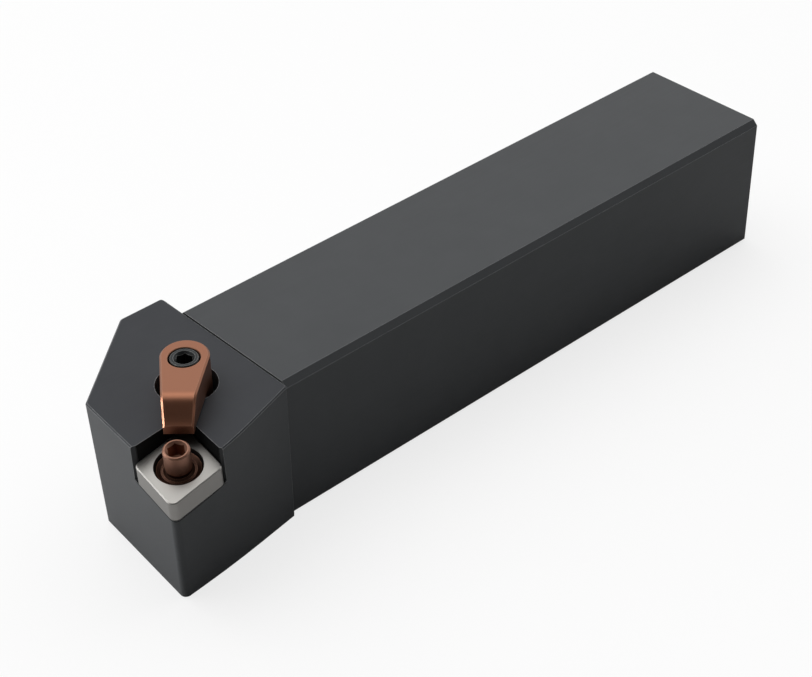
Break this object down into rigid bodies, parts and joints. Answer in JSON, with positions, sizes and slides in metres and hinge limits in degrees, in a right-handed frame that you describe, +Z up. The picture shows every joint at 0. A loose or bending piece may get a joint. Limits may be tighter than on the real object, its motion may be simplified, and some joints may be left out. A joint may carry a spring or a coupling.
{
  "type": "turning tool holder",
  "caption": "Square-shank external turning tool holder with an open rhombic insert pocket, shim, lock pin, top clamp finger and clamp screw.",
  "frame": {"origin": "centre of the shank's underside", "axes": "+X along the shank towards the head, +Y to the cutting side, +Z up"},
  "size_m": [0.1691, 0.0449, 0.0378],
  "materials": {
    "black_steel": "black oxide on ground and milled steel, satin",
    "carbide_shim": "ground cemented carbide, fine satin",
    "bronzed_steel": "copper-brown conversion coat on hardened steel, satin",
    "dark_screw_steel": "blackened screw steel, satin"
  },
  "bodies": {
    "holder": {"holder_body": "black_steel", "shim": "carbide_shim"},
    "clamp_screw": {"clamp_screw": "dark_screw_steel"},
    "clamp_finger": {"clamp_finger": "bronzed_steel"},
    "lock_pin": {"lock_pin": "bronzed_steel"}
  },
  "joints": [
    {"name": "clamp_screw_turn", "type": "hinge", "parent": "holder", "child": "clamp_screw", "pos_m": [0.08145, 0.00303, 0.03], "axis": [0, 0, 1], "range_deg": [-72, 900]},
    {"name": "clamp_lift", "type": "slide", "parent": "holder", "child": "clamp_finger", "axis": [0, 0, 1], "range_m": [-0.0004, 0.005]},
    {"name": "lock_pin_turn", "type": "hinge", "parent": "holder", "child": "lock_pin", "pos_m": [0.09406, 0.01656, 0.02766], "axis": [0.104, 0.104, 0.9891], "range_deg": [0, 360]}
  ],
  "couplings": [
    {"joint": "clamp_screw_turn", "follows": "clamp_lift", "rad_per_m": 3141.6}
  ]
}
